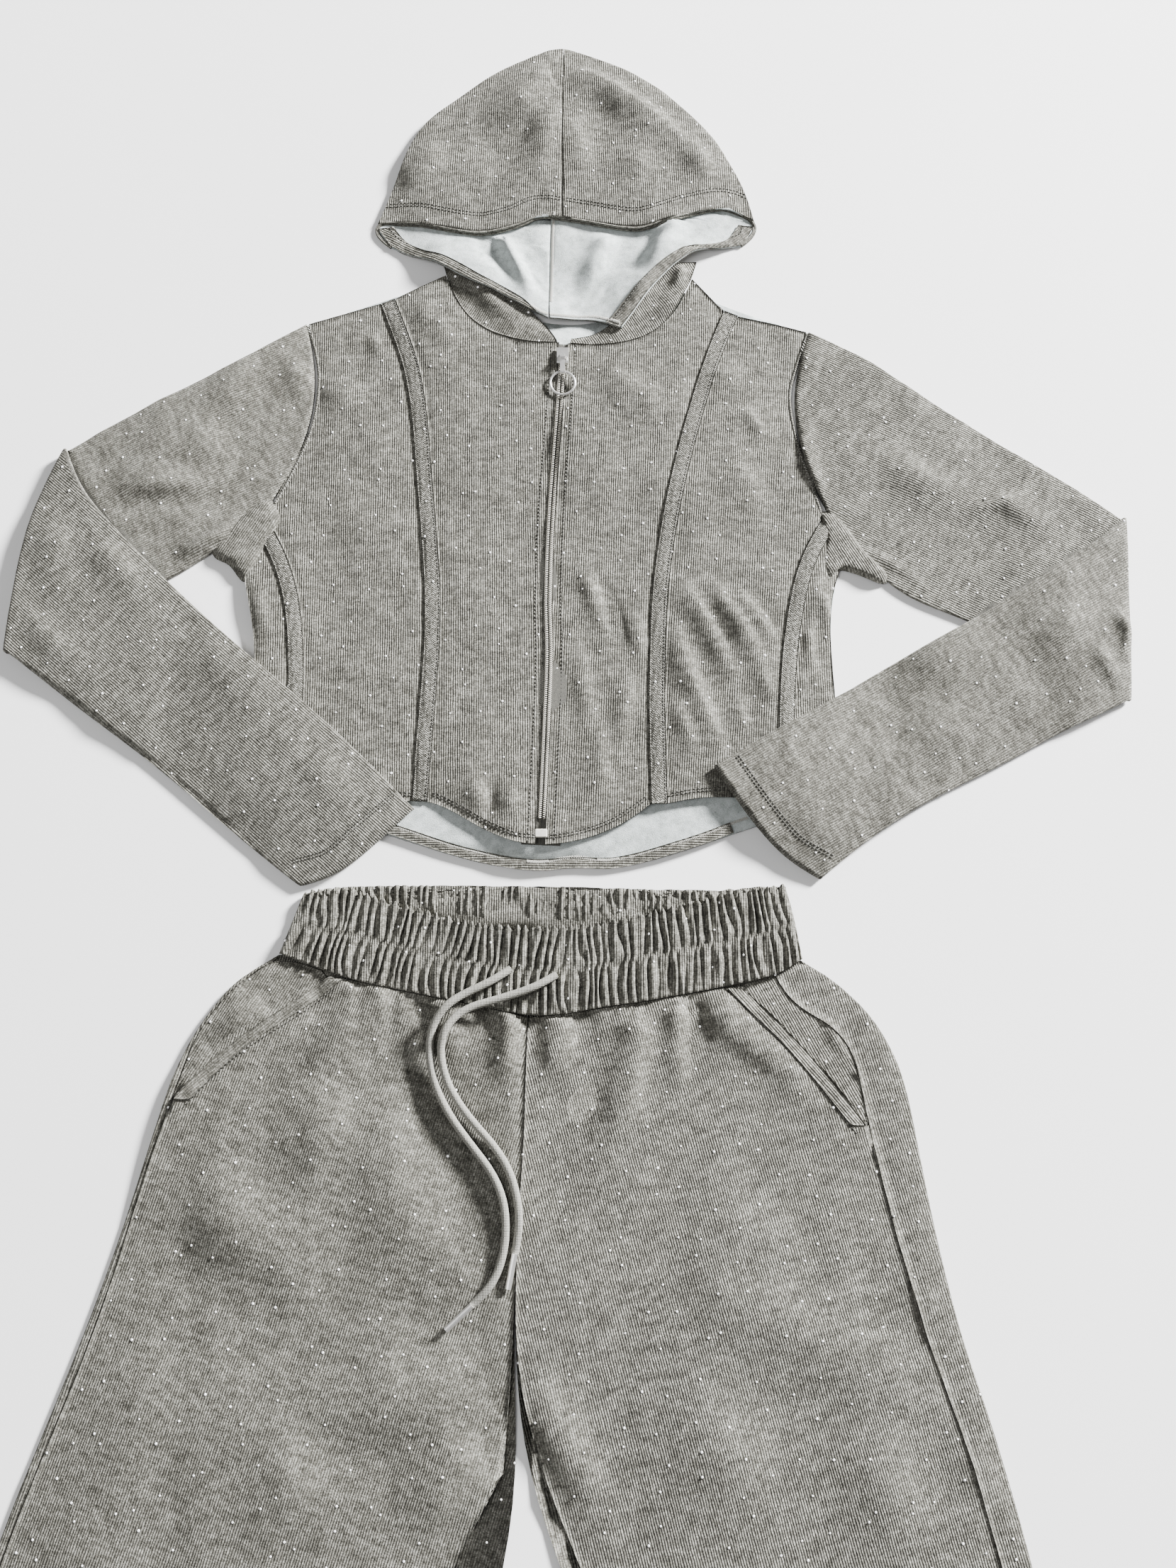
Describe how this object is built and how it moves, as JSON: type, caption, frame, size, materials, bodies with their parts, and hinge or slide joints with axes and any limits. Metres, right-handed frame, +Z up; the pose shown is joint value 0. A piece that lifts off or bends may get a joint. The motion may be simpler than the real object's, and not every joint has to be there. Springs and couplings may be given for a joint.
{
  "type": "tracksuit",
  "caption": "Cropped zip hoodie with ribbed strips over its long seams, above wide drawstring trousers with a gathered waistband, both laid out flat with the front up.",
  "frame": {"origin": "middle of the laid-out set's outline, on the surface it lies on", "axes": "+Y from the trouser hems to the hood, +X to the right of a viewer who faces the front, +Z up from the surface"},
  "size_m": [0.934, 1.7119, 0.0152],
  "materials": {
    "knit": "heather knit, brushed inside",
    "ribbed_strip": "cross-ribbed knit",
    "cord": "braided",
    "zip_tape": "woven tape",
    "zip_coil": "satin",
    "nickel": "polished nickel"
  },
  "bodies": {
    "garment": {"jacket_back": "knit", "jacket_back_hem": "knit", "centre_front_left": "knit", "centre_front_right": "knit", "princess_channel_left": "ribbed_strip", "princess_channel_right": "ribbed_strip", "side_front_left": "knit", "side_front_right": "knit", "side_channel_left": "ribbed_strip", "side_channel_right": "ribbed_strip", "side_panel_left": "knit", "side_panel_right": "knit", "sleeve_left": "knit", "sleeve_right": "knit", "hood_left": "knit", "hood_right": "knit", "hood_hem_left": "knit", "hood_hem_right": "knit", "hood_neck_left": "knit", "hood_neck_right": "knit", "zip_tape_left": "zip_tape", "zip_tape_right": "zip_tape", "zip_coil": "zip_coil", "zip_stop": "zip_coil", "slider": "nickel", "waistband": "knit", "front_leg_left": "knit", "front_leg_right": "knit", "back_leg_left": "knit", "back_leg_right": "knit", "pocket_facing_left": "knit", "pocket_facing_right": "knit", "pocket_hem_left": "knit", "pocket_hem_right": "knit", "drawcord_a": "cord", "drawcord_b": "cord", "aglet_a": "nickel", "aglet_b": "nickel"},
    "pull_link": {"pull_link": "nickel"},
    "pull_ring": {"pull_ring": "nickel"}
  },
  "joints": [
    {"name": "link_hinge", "type": "hinge", "parent": "garment", "child": "pull_link", "pos_m": [0.03278, 0.57204, 0.0116], "axis": [-1, 0, 0], "range_deg": [0, 110]},
    {"name": "ring_hinge", "type": "hinge", "parent": "pull_link", "child": "pull_ring", "pos_m": [0.03278, 0.56095, 0.00855], "axis": [-1, 0, 0], "range_deg": [0, 70]}
  ]
}
